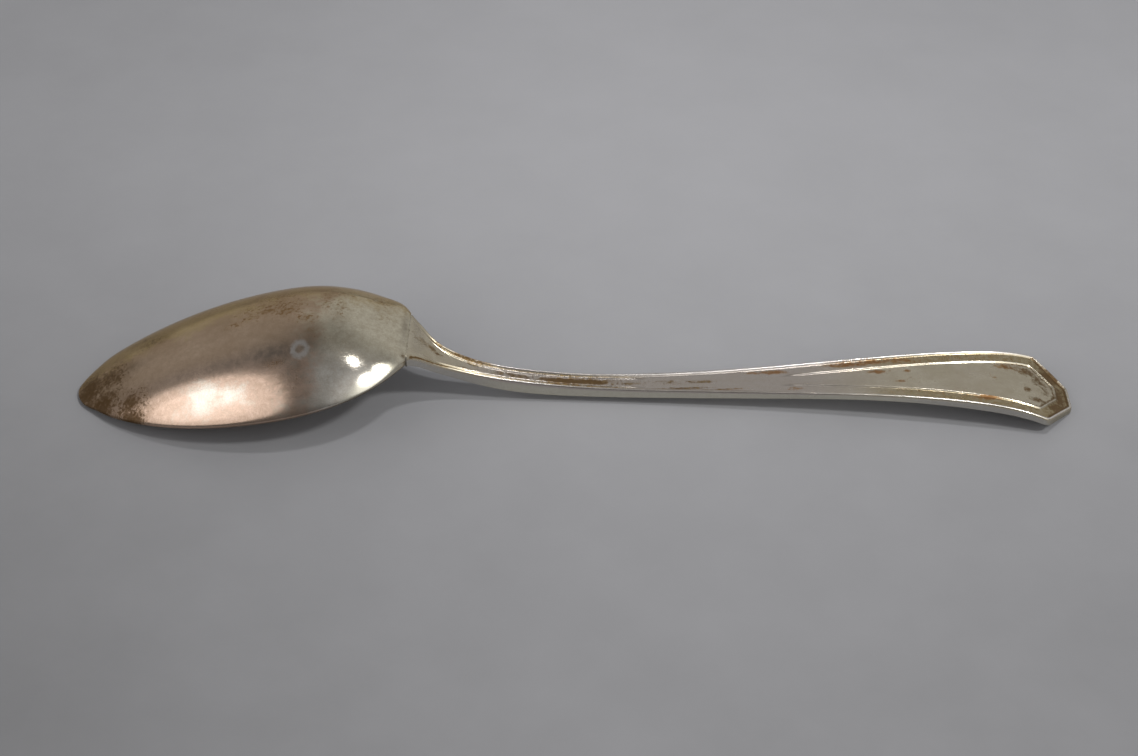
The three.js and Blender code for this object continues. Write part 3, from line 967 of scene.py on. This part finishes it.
# how far the crests are rubbed bright on the near and the far side: mm along from the tip, share
NEAR_RUBBED = [
    (84, 0), (92, 0.55), (98, 0.55), (106, 0.1), (150, 0.1), (168, 0.5), (188, 1), (204, 1),
    (210, 0.6),
]
FAR_RUBBED = [
    (84, 0), (92, 0.55), (110, 0.4), (124, 0.6), (160, 0.7), (196, 0.9), (203, 0.45), (206, 0.25),
    (210, 0.2),
]

# where the handle's looks start or end, in mm along from the tip
STEM_CHANNEL_ENDS = (120, 140)
END_CHANNEL_STARTS = (162, 178)
# the fan's painted shadow line, where the bowl's rim meets the fan's near side
FAN_SHADOW_STARTS = (71.2, 71.8)
FAN_SHADOW_ENDS = (77, 81)
PANEL_LINE_STARTS = (191, 200)
CORNER_LINE_STARTS = (202, 204.5)
ROSY_STARTS = (78, 92)
ROSY_ENDS = (150, 176)

# dark lines of dirt, and the fan's painted shadow line: place, as a distance from the edge or the
# inner thread, and reach
FAN_SHADOW_LINE = (0.3 * MM, 0.22 * MM)
PANEL_LINE = (0.12 * MM, 0.25 * MM)
CORNER_LINE_REACH = 0.3 * MM
PANEL_LINE_STRENGTH = 0.85
CORNER_LINE_STRENGTH = 0.8

# shares of the thickness from which a point belongs to the back, at the edge and inside it
EDGE_BAND = 0.08 * MM
BACK_AT_EDGE = (0.68, 0.78)
BACK_INSIDE = (0.4, 0.5)

# how deep below the crest the rim thread and the slopes inside it still count as crest
BRIGHT_BEAD = (0.03 * MM, 0.12 * MM)
CREST_DEPTH = (0.05, 0.6)
INNER_THREAD_DULLED = 0.25


def soft_line(away, reach):
    return np.exp(-(away / reach) ** 2)


def mark_handle(piece):
    """Writes the handle's stains, dark lines and the fan's painted shadow line, channels, crests,
    side faces for painted light and shade, and rosy middle.
    """
    along, across, height = (value * MM for value in lay_points(piece))
    x = np.clip(along, HANDLE_START, OVERALL_LENGTH)
    y = np.abs(across)
    place = x / MM
    thickness = edge_thickness(x)
    fullness = (height + LOWEST - underside(x)) / thickness
    to_side = (handle_half(np.minimum(x, SHOULDER_AT)) - y) / np.hypot(1, handle_slope(x))
    to_cut = (OVERALL_LENGTH - x) * math.sin(CUT_TURN) + (END_FACE_HALF - y) * math.cos(CUT_TURN)
    inset = np.minimum(np.minimum(to_side, to_cut), OVERALL_LENGTH - x)
    _, crest_at, foot_at, thread_from, thread_at, thread_to = border_lines(x)
    sunk = (1 - fullness) * thickness
    depth = np.clip(sunk / BORDER_RELIEF, 0, 1)
    above = np.where(
        inset < EDGE_BAND, soft_step(*BACK_AT_EDGE, fullness), soft_step(*BACK_INSIDE, fullness))

    # brown channels on the stem and at the end, and crests that are rubbed bright
    browned = np.maximum(
        1 - soft_step(*STEM_CHANNEL_ENDS, place), soft_step(*END_CHANNEL_STARTS, place))
    channel = soft_step(crest_at, foot_at, inset) * (1 - soft_step(thread_from, thread_at, inset))
    channel = channel * depth * above * thread_strength(x) * browned
    ridge = np.where(
        inset < crest_at, 1 - soft_step(*BRIGHT_BEAD, sunk), 1 - soft_step(*CREST_DEPTH, depth))
    ridge = ridge * (1 - soft_step(thread_at, thread_to, inset)) * above
    ridge = ridge * (1 - INNER_THREAD_DULLED * soft_step(foot_at, thread_from, inset))
    near_rubbed, far_rubbed = (np.interp(place, *zip(*side)) for side in (NEAR_RUBBED, FAR_RUBBED))
    rubbed = np.where(across < 0, near_rubbed, far_rubbed)

    # a painted shadow line at the near edge of the fan, and dark lines of dirt round the panel's
    # end and at the foot of the corners
    fan = soft_step(*FAN_SHADOW_STARTS, place) * (1 - soft_step(*FAN_SHADOW_ENDS, place))
    fan_shadow = soft_line(inset - FAN_SHADOW_LINE[0], FAN_SHADOW_LINE[1]) * (across < 0) * fan
    panel_edge = soft_line(inset - thread_to - PANEL_LINE[0], PANEL_LINE[1])
    panel_edge = PANEL_LINE_STRENGTH * panel_edge * soft_step(*PANEL_LINE_STARTS, place)
    corner_edge = soft_line(inset - foot_at, CORNER_LINE_REACH)
    corner_edge = CORNER_LINE_STRENGTH * corner_edge * soft_step(*CORNER_LINE_STARTS, place)
    drawn = np.maximum(np.maximum(fan_shadow, panel_edge), corner_edge)
    # the stain mask also carries the fan's painted shadow line
    write_masks(
        piece,
        stain=np.maximum(spot_mask(piece, HANDLE_STAINS), drawn) * above,
        channel=channel,
        crest=ridge * rubbed,
        ridge=ridge,
        side=1 - above,
        rosy=soft_step(*ROSY_STARTS, place) * (1 - soft_step(*ROSY_ENDS, place)))


# where the handle's colours start or end, along from the middle of the spoon
# the side faces get painted light on the stem and painted shade at the end
STEM_SIDE_LIGHT_STARTS = (-24 * MM, -12 * MM)
STEM_SIDE_LIGHT_ENDS = (61 * MM, 79 * MM)
END_SIDE_SHADE_STARTS = (97 * MM, 101 * MM)
ORANGE_STARTS = (28 * MM, 38 * MM)
ORANGE_ENDS = (88 * MM, 98 * MM)
END_STAIN_STARTS = (86 * MM, 96 * MM)
HEEL_RIDGE_ENDS = (-22 * MM, -14 * MM)
HANDLE_BUMP = 0.003 * MM
HANDLE_TONES = {
    "dark plate": (0.61, 0.55, 0.42, 1),
    "pale plate": (0.69, 0.635, 0.51, 1),
    "rosy": (0.56, 0.513, 0.478, 1),
    "streak": (0.5, 0.42, 0.34, 1),
    # flank tones: painted light and shade on the side faces, paler on the stem and darker at the
    # end
    "flank": (0.56, 0.545, 0.505, 1),
    "stem flank": (0.65, 0.63, 0.54, 1),
    "end flank": (0.44, 0.43, 0.36, 1),
    "crest": (0.94, 0.92, 0.92, 1),
    "channel": (0.39, 0.305, 0.16, 1),
    "mottle": (0.3, 0.23, 0.14, 1),
    "grain": (0.25, 0.19, 0.12, 1),
    "stain": (0.25, 0.152, 0.04, 1),
    "end stain": (0.18, 0.13, 0.065, 1),
    "orange stain": (0.37, 0.2, 0.07, 1),
    "speck": (0.11, 0.06, 0.022, 1),
    "orange speck": (0.21, 0.1, 0.035, 1),
    "glance": (0.8, 0.74, 0.66, 1),
}


def plate_handle():
    """Yellowed silver plate: rosy on the stem, brown in the channels, bright on the crests."""
    material, tree, shader, coordinates = start_material("handle_plate")
    tone = HANDLE_TONES
    channel, crest, ridge, rosy, side = (
        read_attribute(tree, name) for name in ("channel", "crest", "ridge", "rosy", "side"))
    cloud, streak, mottle, grain, film, specks = use_group(
        tree, tarnish, coordinates, Cloud_Scale=160, Grain_Scale=1600,
        Density=read_attribute(tree, "stain") + channel * 0.25)
    scratched, furrows = use_group(tree, scratches, coordinates, Fineness=SCRATCH_FINENESS)
    along, _, _ = split(tree, coordinates)
    # painted light and shade on the side faces: paler on the stem, darker at the end
    stem = ease(*STEM_SIDE_LIGHT_STARTS, along) * (1 - ease(*STEM_SIDE_LIGHT_ENDS, along))
    flank = blend(stem, tone["flank"], tone["stem flank"])
    flank = blend(ease(*END_SIDE_SHADE_STARTS, along), flank, tone["end flank"])
    colour = blend(cloud, tone["dark plate"], tone["pale plate"])
    for share, over in (
            (rosy, tone["rosy"]),
            (streak * 0.25, tone["streak"]),
            (side, flank),
            (crest * 0.9, tone["crest"]),
            (channel * (0.5 + 0.5 * mottle), tone["channel"]),
            (mottle * 0.14, tone["mottle"]),
            (grain * 0.1, tone["grain"])):
        colour = blend(share, colour, over)

    # stains flake, and are more orange along the outer half of the handle
    orange = ease(*ORANGE_STARTS, along) * (1 - ease(*ORANGE_ENDS, along))
    browned = blend(ease(*END_STAIN_STARTS, along), tone["stain"], tone["end stain"])
    browned = blend(orange, browned, tone["orange stain"])
    rusted = blend(orange, tone["speck"], tone["orange speck"])
    flakes = film * (0.45 + 0.65 * mottle + 0.45 * grain)
    colour = blend(ease(0.22, 0.78, flakes) * 0.8, colour, browned)
    colour = blend(specks * 0.85, colour, rusted)
    rough = 0.17 + 0.05 * cloud + 0.04 * mottle + 0.05 * crest
    rough = rough + 0.14 * film + 0.1 * specks + 0.05 * scratched
    rough = rough + 0.2 * ridge * (1 - ease(*HEEL_RIDGE_ENDS, along))
    height = mottle * 0.5 + streak * 0.5 + furrows * 0.2 + film
    bumps = place_node(tree, "ShaderNodeBump", {
        "Strength": BUMP_STRENGTH, "Distance": HANDLE_BUMP, "Height": height * (1 - 0.9 * ridge)})
    coat(tree, shader, Base_Color=colour, Metallic=0.96 - 0.3 * specks, Roughness=rough,
         Specular_Tint=tone["glance"], Normal=bumps.outputs[0])
    return material


handle_mesh = weave_patches("spoon_handle", handle_patches())
finish_mesh(handle_mesh)
handle = show("spoon_handle", handle_mesh)
handle.data.materials.append(plate_handle())
mark_handle(handle)
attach(handle, "root")
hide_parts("handle")


# Table: a plain sheet of matt grey card that lies flat under the spoon.
# Its tone is faintly uneven, and painted light makes it paler behind, on the right and in the
# middle.
FLOOR_REACH = 4.0
CARD_DARK = (0.168, 0.168, 0.173, 1)
CARD_PALE = (0.42, 0.419, 0.44, 1)
CARD_CORNERS = ((-1, -1), (1, -1), (1, 1), (-1, 1))


def lay_card():
    """Matt card with painted light, paler behind, on the right and in the middle, and a little
    unevenness.
    """
    material, tree, shader, coordinates = start_material("grey_card")
    x, y, _ = split(tree, coordinates)
    # painted light: the card is paler behind, on the right and in the middle, where more light
    # falls
    behind = ease(-0.115, 0.12, y)
    right = ease(-0.25, 0.2, x)
    middle = 1 - ease(0, 0.15, reckon("ABSOLUTE", x))
    uneven = noise(tree, coordinates, 40, 6, 0.6) - 0.5
    painted_light_and_mottle = 0.6 * behind + 0.24 * right + 0.21 * middle + 0.2 * uneven
    colour = blend(painted_light_and_mottle, CARD_DARK, CARD_PALE)
    coat(tree, shader, Base_Color=colour, Roughness=0.85, Specular_IOR_Level=0.2)
    return material


floor_mesh = bpy.data.meshes.new("table_card")
floor_mesh.from_pydata(
    [(x * FLOOR_REACH, y * FLOOR_REACH, 0) for x, y in CARD_CORNERS], [], [(0, 1, 2, 3)])
floor = show("table_card", floor_mesh)
floor.data.materials.append(lay_card())


# Light: a broad oval soft box on the left with a brighter middle, a lamp on the right and a small
# one close overhead, all hung in a grey room. The room is darker above and in front, and its wall
# is brighter behind the lamp on the right.
def hang_lamp(name, heading, rise, distance, size, power, colour):
    """An area lamp that looks at the spoon; heading and rise are degrees from +X and the table."""
    light = bpy.data.lights.new(name, "AREA")
    light.shape = "ELLIPSE"
    light.size, light.size_y = size
    light.energy = power
    light.color = colour
    lamp = bpy.data.objects.new(name, light)
    turn, lift = math.radians(heading), math.radians(rise)
    flat = math.cos(lift)
    toward = Vector((math.cos(turn) * flat, math.sin(turn) * flat, math.sin(lift)))
    lamp.location = toward * distance
    lamp.rotation_euler = toward.to_track_quat("Z", "Y").to_euler()
    bpy.context.scene.collection.objects.link(lamp)


hang_lamp("left_box", heading=-146.3, rise=32, distance=1.1, size=(1.14, 0.84),
          power=2.7, colour=(1, 0.98, 0.96))
hang_lamp("left_box_middle", heading=-149.5, rise=32, distance=1.08, size=(0.66, 0.44),
          power=0.38, colour=(1, 0.99, 1))
hang_lamp("right_lamp", heading=-40, rise=53, distance=1.0, size=(0.1, 0.1),
          power=3.3, colour=(1, 1, 0.98))
hang_lamp("top_lamp", heading=-33, rise=72.8, distance=0.507, size=(0.036, 0.036),
          power=0.56, colour=(1, 1, 1))

# brightness of the room low in front, its changes higher up and behind, the ceiling and the wall
FRONT_GLOW = 0.1
HIGH_GAIN = 0.145
BACK_GAIN = 0.32
HIGH_BACK_LOSS = 0.135
CEILING_GLOW = 0.235
WALL_TOWARD = (0.65, -0.562, 0.512)
WALL_GAIN = 0.4
WALL_MIDDLE_GAIN = 1.1
world = bpy.data.worlds.new("grey_room")
bpy.context.scene.world = world
world.use_nodes = True
room = world.node_tree
direction = room.nodes.new("ShaderNodeTexCoord").outputs["Generated"]
aside, depth, rise = split(room, direction)
back, high = ease(-0.7, 0.5, depth), ease(0.3, 0.75, rise)
glow = FRONT_GLOW + HIGH_GAIN * high + back * (BACK_GAIN - HIGH_BACK_LOSS * high)
glow = glow + (CEILING_GLOW - glow) * ease(0.7, 0.98, rise)
facing = aside * WALL_TOWARD[0] + depth * WALL_TOWARD[1] + rise * WALL_TOWARD[2]
glow = glow + WALL_GAIN * ease(0.78, 0.98, facing)
glow = glow + WALL_MIDDLE_GAIN * ease(0.945, 0.99, facing)
coat(room, room.nodes["Background"], Color=(1, 1, 1, 1), Strength=glow)


# Camera: a lens of about 61 mm on a frame 36 mm wide, some 42 cm away from the spoon.
# Its place and turn were fitted to the outline of the spoon in the photograph.
PHOTO_WIDTH = 1138
FOCAL_PIXELS = 1934.6
SENSOR_WIDTH = 36
CAMERA_AZIMUTH = math.radians(1.1897)
CAMERA_ELEVATION = math.radians(39.7874)
CAMERA_ROLL = math.radians(0.1127)
CAMERA_DISTANCE = 416.518 * MM
CAMERA_TARGET = Vector((104.1727 * MM - OVERALL_LENGTH / 2, 6.013 * MM, 0))
NEAREST_SEEN = 10 * MM

flat = math.cos(CAMERA_ELEVATION)
behind = Vector((math.sin(CAMERA_AZIMUTH) * flat, -math.cos(CAMERA_AZIMUTH) * flat,
                 math.sin(CAMERA_ELEVATION)))
level = Vector((math.cos(CAMERA_AZIMUTH), math.sin(CAMERA_AZIMUTH), 0))
above = behind.cross(level)
rightward = math.cos(CAMERA_ROLL) * level + math.sin(CAMERA_ROLL) * above
upward = math.cos(CAMERA_ROLL) * above - math.sin(CAMERA_ROLL) * level
lens = bpy.data.cameras.new("photo_camera")
lens.sensor_fit = "HORIZONTAL"
lens.sensor_width = SENSOR_WIDTH
lens.lens = FOCAL_PIXELS * SENSOR_WIDTH / PHOTO_WIDTH
lens.clip_start = NEAREST_SEEN
camera = bpy.data.objects.new("photo_camera", lens)
stand = Matrix((rightward, upward, behind)).transposed().to_4x4()
stand.translation = CAMERA_TARGET + CAMERA_DISTANCE * behind
camera.matrix_world = stand
bpy.context.scene.collection.objects.link(camera)
bpy.context.scene.camera = camera
bpy.context.scene.view_settings.view_transform = "Standard"
